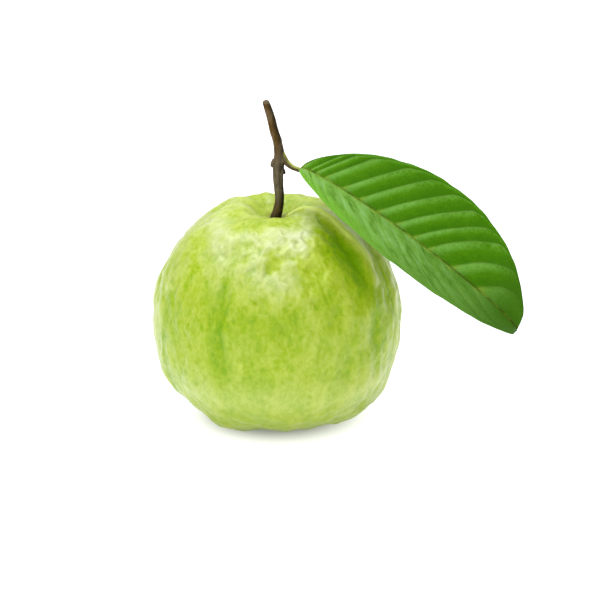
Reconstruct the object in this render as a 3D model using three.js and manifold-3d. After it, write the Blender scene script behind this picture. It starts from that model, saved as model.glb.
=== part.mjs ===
// A guava as it is picked: the fruit, the woody twig that bore it, one leaf on its stalk and,
// underneath, the dried calyx that the flower left. Millimetres, +Z up. The origin is on the
// fruit's axis, in the plane that it rests on. The leaf spreads towards +X.

import * as THREE from 'three';
import { mergeVertices } from 'three/addons/utils/BufferGeometryUtils.js';
import Module from 'manifold-3d';

const wasm = await Module();
wasm.setup();

// Fruit: a round body, a little wider than it is high, with a boxier lower half.
const FRUIT_RADIUS = 47.5;
const WIDEST_HEIGHT = 40.1;
const DOME_HEIGHT = 48.6;
const DOME_FULLNESS = 2.04;
const BASE_FULLNESS = 2.6;
const FULLNESS_CHANGE = 6;
const BASE_FLAT = 0.9;
const DIMPLE_DEPTH = 9.6;
const DIMPLE_RADIUS = 9.5;
const PLEATS = 7;
const PLEAT_DEPTH = 0.5;
const PLEAT_RADIUS = 15;
const BASIN_DEPTH = 4.5;
const BASIN_RADIUS = 11;
const FRUIT_STEPS_UP = 42;
const FRUIT_STEPS_ROUND = 56;

// Where its side stands out or sinks in: the side in degrees from the front towards +X, the height
// of the middle, the reach up and down, the half width, and how far it stands out. None of them
// comes near the stem dimple or the basin: they fade in between these two distances from the axis.
const SWELLINGS = [
  { side: 49, height: 70, reach: 11, halfWidth: 6, rise: -1.7 },
  { side: 59, height: 78, reach: 14, halfWidth: 3.4, rise: 1.6 },
  { side: -90, height: 78, reach: 14, halfWidth: 30, rise: -0.8 },
  { side: -37, height: 6, reach: 7, halfWidth: 10, rise: 1.6 },
  { side: -68, height: 4, reach: 9, halfWidth: 17, rise: -2.1 },
  { side: 57, height: 5, reach: 7, halfWidth: 9, rise: 1.5 },
  { side: 84, height: 8, reach: 8, halfWidth: 20, rise: 1.7 },
];
const SWELLING_START = 11;
const SWELLING_FULL = 18;

// Calyx: five sepals folded in over the blossom end and pressed flat where the fruit rests on them.
const SEPALS = 5;
const CALYX_RADIUS = 8.5;
const CALYX_PRESSED_RADIUS = 4;
const SEPAL_NOTCH = 0.9;
const SEPAL_CREASE = 0.5;
const CALYX_STEPS_UP = 8;
const CALYX_STEPS_ROUND = 40;

// Twig: places along its crooked centre line from the foot to the cut end, each with its radius.
const TWIG_STATIONS = [
  { at: [0.2, 0, 76.5], radius: 2.0 },
  { at: [1.1, 0.2, 86.5], radius: 1.8 },
  { at: [0.8, 0.3, 91.5], radius: 1.85 },
  { at: [0.5, 0.3, 95.5], radius: 1.95 },
  { at: [0.7, -0.2, 100], radius: 2.15 },
  { at: [1.0, -0.6, 104], radius: 2.0 },
  { at: [0.4, -1.2, 109], radius: 1.75 },
  { at: [-0.9, -2, 113.8], radius: 1.63 },
  { at: [-2.1, -3, 118.9], radius: 1.55 },
  { at: [-3.7, -4, 124], radius: 1.35 },
];
const TWIG_STEPS = 32;
const TWIG_SIDES = 12;

// The twig's node: the scar of a fallen leaf on one side, and the knob under the leaf stalk.
const NODE_KNOBS = [
  { at: [-1.2, -0.5, 100.3], size: [1.3, 1.6, 2.2] },
  { at: [2.1, -0.3, 97.2], size: [1.5, 1.6, 2.4] },
];
const KNOB_SIDES = 10;
const KNOB_STEPS = 8;

// Leaf: the stalk leaves the twig's flank and turns into the midrib of a folded, arched blade.
const STALK_POINTS = [[1.6, -0.6, 105.8], [2.5, -0.9, 103.4], [3.7, -1.2, 101.3], [5.5, -1.7, 99.8]];
const STALK_RADIUS = 0.95;
const BLADE_BASE = new THREE.Vector3(9.2, -3, 99.3);
const BLADE_TIP = new THREE.Vector3(90.8, -20, 40.5);
const BLADE_FACE = new THREE.Vector3(0.355, -0.643, 0.678);
const BLADE_ARCH = 7;
const ARCH_ROUNDNESS = 0.545;
const BLADE_HALF_WIDTH = 26;
const WIDTH_SKEW = 0.07;
const UPPER_HALF = { fold: 0.378, taper: 0.73 };
const LOWER_HALF = { fold: 0.415, taper: 0.587 };
const BLADE_CUP = 0.2;
const BLADE_THICKNESS = 0.6;
const BLADE_END_HALF_WIDTH = 0.6;
const BLADE_STEPS = 36;
const BLADE_STEPS_ACROSS = 8;
const MIDRIB_TIP_RADIUS = 0.35;
const MIDRIB_END = 0.97;
const MIDRIB_STRETCHES = 8;
const MIDRIB_STEPS = 34;
const MIDRIB_SIDES = 8;

// Neighbouring pieces keep this gap.
const GAP = 0.3;
const WELD_DISTANCE = 1e-4;

const FINISH = {
  fruit: new THREE.MeshStandardMaterial({ color: 0xb4cf63, roughness: 0.38, metalness: 0 }),
  twig: new THREE.MeshStandardMaterial({ color: 0x5d5036, roughness: 0.85, metalness: 0 }),
  leaf: new THREE.MeshStandardMaterial({ color: 0x4b8a18, roughness: 0.45, metalness: 0 }),
  calyx: new THREE.MeshStandardMaterial({ color: 0x6e5330, roughness: 0.9, metalness: 0 }),
};

// Merges the shared corners of a geometry and drops the triangles that this closes up.
function weld(geometry) {
  const bare = geometry.clone();
  bare.deleteAttribute('normal');
  bare.deleteAttribute('uv');
  const welded = mergeVertices(bare, WELD_DISTANCE);
  const corners = welded.index.array;
  const kept = [];
  for (let i = 0; i < corners.length; i += 3) {
    const [a, b, c] = corners.slice(i, i + 3);
    if (a !== b && b !== c && c !== a) kept.push(a, b, c);
  }
  welded.setIndex(kept);
  return welded;
}

function toSolid(geometry) {
  const welded = weld(geometry);
  return new wasm.Manifold(new wasm.Mesh({
    numProp: 3,
    vertProperties: Float32Array.from(welded.attributes.position.array),
    triVerts: Uint32Array.from(welded.index.array),
  }));
}

function toGeometry(solid) {
  const { vertProperties, triVerts } = solid.getMesh();
  const geometry = new THREE.BufferGeometry();
  geometry.setAttribute('position', new THREE.BufferAttribute(vertProperties, 3));
  geometry.setIndex(new THREE.BufferAttribute(triVerts, 1));
  geometry.computeVertexNormals();
  return geometry;
}

// Moves every corner of a geometry to where place(corner) says.
function reshape(geometry, place) {
  const positions = geometry.attributes.position;
  const corner = new THREE.Vector3();
  for (let i = 0; i < positions.count; i++) {
    const moved = place(corner.fromBufferAttribute(positions, i));
    positions.setXYZ(i, moved.x, moved.y, moved.z);
  }
  return geometry;
}

// A rod of round section bent along a curve; radiusAt gives its radius from 0 at the start to 1.
function bentRod(curve, radiusAt, steps, sides) {
  const frames = curve.computeFrenetFrames(steps);
  const rod = new THREE.CylinderGeometry(1, 1, 1, sides, steps);
  return reshape(rod, ({ x, y, z }) => {
    const along = THREE.MathUtils.clamp(y + 0.5, 0, 1);
    const ring = Math.round(along * steps);
    const radius = radiusAt(along);
    return curve.getPointAt(along)
      .addScaledVector(frames.normals[ring], x * radius)
      .addScaledVector(frames.binormals[ring], -z * radius);
  });
}

// Height of the basin's roof round the calyx, at a distance from the axis.
function basinHeight(distance) {
  const inside = Math.max(0, 1 - (distance / BASIN_RADIUS) ** 2);
  return BASIN_DEPTH * inside ** 2;
}

// Outline of half the fruit's section, from the basin's centre round to the dimple's floor.
function fruitOutline() {
  const outline = [];
  for (let step = 0; step <= FRUIT_STEPS_UP; step++) {
    const slope = -(Math.PI / 2) * Math.cos(Math.PI * step / FRUIT_STEPS_UP);
    const across = Math.cos(slope);
    const up = Math.sin(slope);
    const dome = 1 / (1 + Math.exp(-FULLNESS_CHANGE * up));
    const fullness = BASE_FULLNESS + (DOME_FULLNESS - BASE_FULLNESS) * dome;
    const reach = up > 0 ? DOME_HEIGHT : WIDEST_HEIGHT + BASE_FLAT;
    const squareness = (across / FRUIT_RADIUS) ** fullness + (Math.abs(up) / reach) ** fullness;
    const distance = squareness ** (-1 / fullness);
    const radius = step % FRUIT_STEPS_UP === 0 ? 0 : distance * across;
    const height = Math.max(0, WIDEST_HEIGHT + distance * up);
    const dimple = up > 0 ? DIMPLE_DEPTH * Math.exp(-((radius / DIMPLE_RADIUS) ** 2)) : 0;
    const basin = up < 0 ? basinHeight(radius) : 0;
    outline.push(new THREE.Vector2(radius, height - dimple + basin));
  }
  return outline;
}

// Depth of the shallow pleats that run into the stem dimple.
function pleatDepth({ x, y, z }) {
  const radius = Math.hypot(x, y);
  const onDome = z > WIDEST_HEIGHT ? 1 : 0;
  const near = (radius / PLEAT_RADIUS) ** 2 * Math.exp(1 - (radius / PLEAT_RADIUS) ** 2);
  const wave = (1 - Math.cos(PLEATS * Math.atan2(y, x))) / 2;
  return PLEAT_DEPTH * near * wave * onDome;
}

// 1 at the middle of a swelling, falling smoothly to nothing about twice its half width away.
function bell(away) {
  return Math.exp(-(away ** 2));
}

// How far a place on the fruit's side stands out from the round outline.
function swelling({ x, y, z }) {
  const turn = Math.atan2(x, -y);
  const settled = THREE.MathUtils.smoothstep(Math.hypot(x, y), SWELLING_START, SWELLING_FULL);
  let rise = 0;
  for (const part of SWELLINGS) {
    const aside = turn - THREE.MathUtils.degToRad(part.side);
    const across = Math.atan2(Math.sin(aside), Math.cos(aside)) * FRUIT_RADIUS;
    rise += part.rise * bell(across / part.halfWidth) * bell((z - part.height) / part.reach);
  }
  return rise * settled;
}

function fruitBody() {
  const body = new THREE.LatheGeometry(fruitOutline(), FRUIT_STEPS_ROUND).rotateX(Math.PI / 2);
  return reshape(body, (corner) => {
    const outwards = new THREE.Vector3(corner.x, corner.y, 0).normalize();
    const drop = pleatDepth(corner);
    return corner.clone().addScaledVector(outwards, swelling(corner)).setZ(corner.z - drop);
  });
}

const twigLine = new THREE.CatmullRomCurve3(TWIG_STATIONS.map(({ at }) => new THREE.Vector3(...at)));

// Radius of the twig at a height; its stations rise steadily, so height finds the stretch.
function twigRadius(height) {
  const next = TWIG_STATIONS.findIndex(({ at }) => at[2] >= height);
  if (next <= 0) return TWIG_STATIONS.at(next).radius;
  const [low, high] = TWIG_STATIONS.slice(next - 1, next + 1);
  const share = (height - low.at[2]) / (high.at[2] - low.at[2]);
  return THREE.MathUtils.lerp(low.radius, high.radius, share);
}

function twigSolid(grown = 0) {
  const radiusAt = (along) => twigRadius(twigLine.getPointAt(along).z) + grown;
  let solid = toSolid(bentRod(twigLine, radiusAt, TWIG_STEPS, TWIG_SIDES));
  for (const { at, size } of NODE_KNOBS) {
    const knob = new THREE.SphereGeometry(1, KNOB_SIDES, KNOB_STEPS)
      .scale(...size.map((half) => half + grown))
      .translate(...at);
    solid = solid.add(toSolid(knob));
  }
  return solid;
}

// The socket that the twig's foot stands in, a gap wider and deeper than the foot.
function twigSocket() {
  const foot = TWIG_STATIONS[0];
  const floor = new THREE.SphereGeometry(foot.radius + GAP, KNOB_SIDES, KNOB_STEPS)
    .translate(...foot.at);
  return twigSolid(GAP).add(toSolid(floor));
}

// The blade's chord, the way its face looks, and the way across it towards the upper half.
const bladeChord = new THREE.Vector3().subVectors(BLADE_TIP, BLADE_BASE);
const bladeFace = BLADE_FACE.clone()
  .projectOnPlane(bladeChord.clone().normalize())
  .normalize();

function midrib(along) {
  const arch = (4 * along * (1 - along)) ** ARCH_ROUNDNESS;
  return BLADE_BASE.clone()
    .addScaledVector(bladeChord, along)
    .addScaledVector(bladeFace, BLADE_ARCH * arch);
}

// Directions at a place on the midrib: across the blade, and out of its face.
function bladeFrame(along) {
  const reach = 0.01;
  const start = midrib(Math.max(0, along - reach));
  const tangent = midrib(Math.min(1, along + reach)).sub(start).normalize();
  const face = bladeFace.clone().projectOnPlane(tangent).normalize();
  return { face, across: new THREE.Vector3().crossVectors(face, tangent) };
}

// A point of the blade: along runs from base to tip, across from -1 at the lower edge to 1.
function bladePoint(along, across, lift) {
  const { fold, taper } = across > 0 ? UPPER_HALF : LOWER_HALF;
  const skew = 1 + WIDTH_SKEW * (along - 0.5);
  const halfWidth = BLADE_HALF_WIDTH * skew * (4 * along * (1 - along)) ** taper;
  const out = across * Math.max(halfWidth, BLADE_END_HALF_WIDTH);
  const rise = fold + BLADE_CUP * (Math.abs(across) - 1) / 2;
  const frame = bladeFrame(along);
  return midrib(along)
    .addScaledVector(frame.across, out * Math.cos(rise))
    .addScaledVector(frame.face, Math.abs(out) * Math.sin(rise) + lift);
}

function blade() {
  const sheet = new THREE.BoxGeometry(1, 2, BLADE_THICKNESS, BLADE_STEPS, BLADE_STEPS_ACROSS, 1);
  return reshape(sheet, ({ x, y, z }) => bladePoint(THREE.MathUtils.clamp(x + 0.5, 0, 1), y, z));
}

// Stalk and midrib: one thinning rod that runs out of the twig and along under the blade.
function stalkAndMidrib() {
  const points = STALK_POINTS.map((point) => new THREE.Vector3(...point));
  for (let step = 0; step <= MIDRIB_STRETCHES; step++) {
    const along = MIDRIB_END * step / MIDRIB_STRETCHES;
    const radius = THREE.MathUtils.lerp(STALK_RADIUS, MIDRIB_TIP_RADIUS, along);
    points.push(midrib(along).addScaledVector(bladeFrame(along).face, -radius));
  }
  const line = new THREE.CatmullRomCurve3(points);
  const radiusAt = (share) => THREE.MathUtils.lerp(STALK_RADIUS, MIDRIB_TIP_RADIUS, share);
  return bentRod(line, radiusAt, MIDRIB_STEPS, MIDRIB_SIDES);
}

function leafSolid() {
  return toSolid(blade()).add(toSolid(stalkAndMidrib())).subtract(twigSolid(GAP));
}

// The calyx: flat underneath at its centre, creased between the sepals and notched at its rim.
function calyxOutline() {
  const outline = [new THREE.Vector2(0, 0)];
  for (const share of [0, 0.5, 1]) {
    outline.push(new THREE.Vector2(THREE.MathUtils.lerp(CALYX_PRESSED_RADIUS, CALYX_RADIUS, share), 0));
  }
  for (let step = CALYX_STEPS_UP; step >= 0; step--) {
    const radius = CALYX_RADIUS * step / CALYX_STEPS_UP;
    outline.push(new THREE.Vector2(radius, basinHeight(radius) - GAP));
  }
  return outline;
}

function calyxBody() {
  const body = new THREE.LatheGeometry(calyxOutline(), CALYX_STEPS_ROUND).rotateX(Math.PI / 2);
  return reshape(body, ({ x, y, z }) => {
    const radius = Math.hypot(x, y);
    const between = Math.cos(SEPALS * Math.atan2(y, x) / 2) ** 4;
    const outer = Math.max(0, (radius - CALYX_PRESSED_RADIUS) / (CALYX_RADIUS - CALYX_PRESSED_RADIUS));
    const inset = 1 - SEPAL_NOTCH * between * outer / CALYX_RADIUS;
    const crease = z === 0 ? SEPAL_CREASE * between * outer * (1 - outer) : 0;
    return new THREE.Vector3(x * inset, y * inset, z + crease);
  });
}

function piece(name, geometry) {
  const mesh = new THREE.Mesh(geometry, FINISH[name]);
  mesh.name = name;
  return mesh;
}

const guava = new THREE.Group();
guava.add(
  piece('fruit', toGeometry(toSolid(fruitBody()).subtract(twigSocket()))),
  piece('twig', toGeometry(twigSolid())),
  piece('leaf', toGeometry(leafSolid())),
  piece('calyx', toGeometry(toSolid(calyxBody()))),
);

export default guava;
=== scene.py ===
# A guava on a pale floor: the fruit, its twig, one leaf and the dried calyx underneath.

import math

import bpy
import numpy as np
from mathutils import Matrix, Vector


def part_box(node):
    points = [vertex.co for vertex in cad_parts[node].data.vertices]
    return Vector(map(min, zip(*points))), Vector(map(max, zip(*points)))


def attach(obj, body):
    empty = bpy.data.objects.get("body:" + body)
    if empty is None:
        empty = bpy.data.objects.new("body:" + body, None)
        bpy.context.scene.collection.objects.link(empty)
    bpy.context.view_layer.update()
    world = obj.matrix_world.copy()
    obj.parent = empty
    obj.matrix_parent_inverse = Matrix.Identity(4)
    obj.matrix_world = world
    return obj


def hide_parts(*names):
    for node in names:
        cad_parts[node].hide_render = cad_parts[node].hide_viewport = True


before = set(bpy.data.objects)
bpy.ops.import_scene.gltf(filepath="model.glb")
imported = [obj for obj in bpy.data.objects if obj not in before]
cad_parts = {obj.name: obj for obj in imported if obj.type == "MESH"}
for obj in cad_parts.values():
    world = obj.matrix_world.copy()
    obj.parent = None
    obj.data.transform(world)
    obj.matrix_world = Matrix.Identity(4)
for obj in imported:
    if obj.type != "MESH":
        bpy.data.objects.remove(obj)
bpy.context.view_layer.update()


# ---- Camera ----------------------------------------------------------------------------------------
# A long lens a little above the fruit's shoulder looks down at it from the front, so that the stem
# dimple just opens and the leaf shows its upper face.

MM = 0.001
LENS = 100
SENSOR = 36
CAMERA_DISTANCE = 646 * MM
CAMERA_RISE = math.radians(17)
LOOK_AT = Vector((8.8, 0, 46.6)) * MM


def place_camera():
    data = bpy.data.cameras.new("camera")
    data.lens = LENS
    data.sensor_width = SENSOR
    camera = bpy.data.objects.new("camera", data)
    back = Vector((0, -math.cos(CAMERA_RISE), math.sin(CAMERA_RISE)))
    camera.location = LOOK_AT + back * CAMERA_DISTANCE
    camera.rotation_euler = (math.pi / 2 - CAMERA_RISE, 0, 0)
    bpy.context.scene.collection.objects.link(camera)
    bpy.context.scene.camera = camera


place_camera()


# ---- Fruit -----------------------------------------------------------------------------------------
# The whole fruit is one grown piece: firm pale flesh under a thin waxy skin, a little boxier below
# than above. Pleats run into its stem dimple and long shallow furrows down its sides, and it is lumpy
# all over. It stands on the flat ring round its blossom end.

fruit_low, fruit_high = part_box("fruit")
FRUIT_RADIUS = (fruit_high.x - fruit_low.x) / 2
WIDEST_HEIGHT = 40.1 * MM
DOME_HEIGHT = 48.6 * MM
DOME_FULLNESS = 2.04
BASE_FULLNESS = 2.6
FULLNESS_CHANGE = 6
BASE_FLAT = 0.9 * MM
DIMPLE_DEPTH = 9.6 * MM
DIMPLE_RADIUS = 9.5 * MM
BASIN_DEPTH = 4.5 * MM
BASIN_RADIUS = 11 * MM
HALVES_BLEND = 20 * MM
FACES_PER_SIDE = 128
BELOW_FLOOR = (-1.0, -1.0, 0.0)

# How finely its skin ripples, in ripples per metre; lumps and wrinkles are a little taller than wide.
SWELL_RIPPLES = 24
LUMP_RIPPLES = 105
WRINKLE_RIPPLES = 150
PEBBLE_RIPPLES = 340
PEBBLE_LEVEL = 0.25
TALLER = (1, 1, 0.7)

# Pleats: how many ripples they make around and downwards, and where they gather round the dimple.
PLEAT_RIPPLES = 1.9
PLEAT_DRIFT = (2, 2, 6)
PLEAT_MIDDLE = 16 * MM
PLEAT_SPREAD = 13 * MM
PLEAT_LEAST = 0.25

# Round one place in front the skin is crumpled: its creases are deeper and sharper there.
CRUMPLED_PLACE = (-2 * MM, -35 * MM, 69 * MM)
CRUMPLED_NEAR = 14 * MM
CRUMPLED_FAR = 32 * MM
CRUMPLED_MOST = 1.3
CRUMPLED_LEAST = 0.6
CREASE_SHARP = 0.02
CREASE_SOFT = 0.16
CREASE_LEVEL = 0.3

# The relief grows between these distances from the twig above and from the calyx below, and the
# dimple's lip dips in front, most widely along X.
TOP_CALM = (1.5 * MM, 6 * MM)
BASE_CALM = (8 * MM, 14 * MM)
LIP_PLACE = (-4 * MM, -11.5 * MM, 85 * MM)
LIP_WIDER = (0.35, 1, 1)
LIP_REACH = 7.5 * MM
LIP_DROP = 3.1

# Long folds in its sides: the side they lie on in degrees from the front towards +X, then in
# millimetres the height of their middle, how far they reach up and down, how far they lean aside for
# each one of height, their half width and their rise, which is below zero for a furrow.
FOLD_WAVER = math.radians(4)
WAVER_RIPPLES = 90
FOLDS = [
    dict(side=-26, height=44, reach=40, lean=0.04, width=5.0, rise=-0.3),
    dict(side=-25, height=56, reach=22, lean=0.0, width=2.2, rise=-0.5),
    dict(side=-62, height=30, reach=24, lean=0.03, width=3.0, rise=-0.5),
    # The next three furrows lie on the right shoulder under the leaf: with the ridge at side 59 they
    # also carry the leaf's painted shadow and painted light in the skin's colour.
    dict(side=38, height=77, reach=5, lean=0.0, width=6.5, rise=-0.75),
    dict(side=37, height=70, reach=8, lean=0.0, width=6.5, rise=-0.35),
    dict(side=49, height=70, reach=11, lean=0.0, width=6.0, rise=-1.7),
    dict(side=52, height=42, reach=20, lean=0.0, width=3.0, rise=-0.4),
    dict(side=59, height=78, reach=14, lean=0.0, width=3.4, rise=1.6),
    dict(side=69, height=52, reach=24, lean=0.0, width=1.8, rise=-0.6),
    dict(side=75, height=44, reach=24, lean=0.0, width=1.7, rise=0.5),
    dict(side=81, height=50, reach=22, lean=0.0, width=1.7, rise=-0.5),
    dict(side=100, height=46, reach=30, lean=0.03, width=4.0, rise=-0.6),
    dict(side=141, height=40, reach=30, lean=-0.03, width=4.0, rise=-0.4),
    dict(side=178, height=48, reach=28, lean=0.02, width=4.5, rise=-0.5),
    dict(side=-146, height=38, reach=30, lean=-0.02, width=3.5, rise=-0.4),
    dict(side=-104, height=46, reach=28, lean=0.02, width=4.0, rise=-0.5),
]

# Where it is fuller or flatter than a round fruit, in the same numbers.
BULGES = [
    dict(side=-37, height=6, reach=7, lean=0.0, width=10.0, rise=1.6),
    dict(side=-68, height=4, reach=9, lean=0.0, width=17.0, rise=-2.1),
    dict(side=-90, height=78, reach=14, lean=0.0, width=30.0, rise=-0.8),
    dict(side=57, height=5, reach=7, lean=0.0, width=9.0, rise=1.5),
    dict(side=84, height=8, reach=8, lean=0.0, width=20.0, rise=1.7),
]


class Wire:
    """A node's output in a shader or geometry tree; arithmetic on it adds Math nodes there."""

    def __init__(self, tree, socket=None):
        self.tree = tree
        self.socket = socket

    def node(self, kind, inputs=None, output=0, **settings):
        """Adds a node: its settings are set first, then its sockets get their values or links."""
        added = self.tree.nodes.new(kind)
        for name, value in settings.items():
            setattr(added, name, value)
        for name, value in (inputs or {}).items():
            if isinstance(value, Wire):
                self.tree.links.new(value.socket, added.inputs[name])
            else:
                added.inputs[name].default_value = value
        return Wire(self.tree, added.outputs[output])

    def output(self, name):
        return Wire(self.tree, self.socket.node.outputs[name])

    def axis(self, name):
        """X, Y or Z of this place or direction."""
        return self.node("ShaderNodeSeparateXYZ", {0: self}).output(name)

    def kept(self, name):
        """In a material: the number kept on the mesh under this name."""
        return self.node("ShaderNodeAttribute", attribute_name=name).output("Fac")

    def bump(self, strength, height):
        """In a material: the facing of a surface on which this value makes bumps so high."""
        return self.node("ShaderNodeBump", {"Strength": strength, "Distance": height, "Height": self})

    def math(self, operation, *values):
        return self.node("ShaderNodeMath", dict(enumerate(values)), operation=operation)

    def vector(self, operation, *values):
        return self.node("ShaderNodeVectorMath", dict(enumerate(values)), operation=operation)

    def length(self):
        return self.vector("LENGTH", self).output("Value")

    def stretched(self, x, y, z):
        return self.vector("MULTIPLY", self, (x, y, z))

    def scaled(self, factor):
        """This direction, made longer or shorter by a number."""
        longer = self.vector("SCALE", self)
        self.tree.links.new(factor.socket, longer.socket.node.inputs["Scale"])
        return longer

    def clamped(self, low=0.0, high=1.0):
        return self.math("MINIMUM", self.math("MAXIMUM", self, low), high)

    def ramp(self, low, high, start=0.0, end=1.0):
        """Runs smoothly from start to end as this value runs from low to high."""
        inputs = {"Value": self, "From Min": low, "From Max": high, "To Min": start, "To Max": end}
        return self.node("ShaderNodeMapRange", inputs, interpolation_type="SMOOTHSTEP")

    def bell(self, width):
        """1 where this value is 0, falling smoothly to nothing about twice the width away."""
        return self.math("EXPONENT", -((self / width) ** 2.0))

    def colour(self, low, high):
        """A colour that runs from low to high as this value runs from 0 to 1."""
        return self.node("ShaderNodeMix", {0: self, 6: low, 7: high}, output=2, data_type="RGBA")

    def __add__(self, other):
        return self.math("ADD", self, other)

    def __sub__(self, other):
        return self.math("SUBTRACT", self, other)

    def __rsub__(self, other):
        return self.math("SUBTRACT", other, self)

    def __mul__(self, other):
        return self.math("MULTIPLY", self, other)

    def __truediv__(self, other):
        return self.math("DIVIDE", self, other)

    def __rtruediv__(self, other):
        return self.math("DIVIDE", other, self)

    def __pow__(self, other):
        return self.math("POWER", self, other)

    def __neg__(self):
        return self.math("MULTIPLY", self, -1.0)

    def __abs__(self):
        return self.math("ABSOLUTE", self)

    __radd__ = __add__
    __rmul__ = __mul__


def noise(wire, place, scale, detail=2.0, roughness=0.5, offset=(0, 0, 0), swirl=0.0):
    """Smooth random swelling between about -1 and 1; scale is in ripples per metre."""
    ripples = wire.node("ShaderNodeTexNoise", {
        "Vector": wire.vector("ADD", place, offset), "Scale": scale, "Detail": detail,
        "Roughness": roughness, "Distortion": swirl,
    })
    return (ripples - 0.5) * 2.0


def geometry_tree(name, numbers, has_input=True):
    """A modifier tree with named number inputs; returns the tree and a Wire for each input by name."""
    tree = bpy.data.node_groups.new(name, "GeometryNodeTree")
    tree.is_modifier = True
    if has_input:
        tree.interface.new_socket("Geometry", in_out="INPUT", socket_type="NodeSocketGeometry")
    tree.interface.new_socket("Material", in_out="INPUT", socket_type="NodeSocketMaterial")
    for label in numbers:
        tree.interface.new_socket(label, in_out="INPUT", socket_type="NodeSocketFloat")
    tree.interface.new_socket("Geometry", in_out="OUTPUT", socket_type="NodeSocketGeometry")
    entry = tree.nodes.new("NodeGroupInput")
    wires = {socket.name: Wire(tree, socket) for socket in entry.outputs if socket.name}
    return tree, wires


def close_tree(tree, geometry, material):
    """Ends a tree as every one here ends: instances made real, shaded smooth, with their material."""
    wire = Wire(tree)
    real = wire.node("GeometryNodeRealizeInstances", {"Geometry": geometry})
    smooth = wire.node("GeometryNodeSetShadeSmooth", {"Geometry": real})
    painted = wire.node("GeometryNodeSetMaterial", {"Geometry": smooth, "Material": material})
    end = tree.nodes.new("NodeGroupOutput")
    tree.links.new(painted.socket, end.inputs["Geometry"])


def grown(name, tree, material, values, base=None):
    """The finished mesh object that a tree makes from its input values."""
    carrier = bpy.data.objects.new("carrier", base or bpy.data.meshes.new("carrier"))
    bpy.context.scene.collection.objects.link(carrier)
    modifier = carrier.modifiers.new("tree", "NODES")
    modifier.node_group = tree
    for item in tree.interface.items_tree:
        if item.in_out != "INPUT":
            continue
        if item.name == "Material":
            modifier[item.identifier] = material
        elif item.name in values:
            modifier[item.identifier] = float(values[item.name])
    evaluated = carrier.evaluated_get(bpy.context.evaluated_depsgraph_get())
    mesh = bpy.data.meshes.new_from_object(evaluated)
    mesh.name = name
    carrier.modifiers.remove(modifier)
    bpy.data.objects.remove(carrier)
    return put_in_scene(name, mesh)


def put_in_scene(name, mesh):
    piece = bpy.data.objects.new(name, mesh)
    bpy.context.scene.collection.objects.link(piece)
    return piece


def new_material(name):
    """A material with an empty node tree and its Principled shader."""
    material = bpy.data.materials.new(name)
    material.use_nodes = True
    tree = material.node_tree
    shader = tree.nodes["Principled BSDF"]
    return material, Wire(tree), shader


def feed(shader, values):
    """Sets or links sockets of a shader."""
    for name, value in values.items():
        if isinstance(value, Wire):
            value.tree.links.new(value.socket, shader.inputs[name])
        else:
            shader.inputs[name].default_value = value


def fold_rise(wire, folds, height, turn):
    """Rise of all these folds in millimetres, at a height and at a turn from the front."""
    total = 0.0
    for fold in folds:
        above = height / MM - fold["height"]
        aside = turn - math.radians(fold["side"])
        wrapped = wire.math("ARCTAN2", wire.math("SINE", aside), wire.math("COSINE", aside))
        across = wrapped * (FRUIT_RADIUS / MM) - above * fold["lean"]
        total = across.bell(fold["width"]) * above.bell(fold["reach"]) * fold["rise"] + total
    return total


def stored_number(geometry, name, value):
    """The geometry with a number kept on its corners for the material to read."""
    inputs = {"Geometry": geometry, "Name": name, "Value": value}
    return geometry.node("GeometryNodeStoreNamedAttribute", inputs, data_type="FLOAT")


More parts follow.
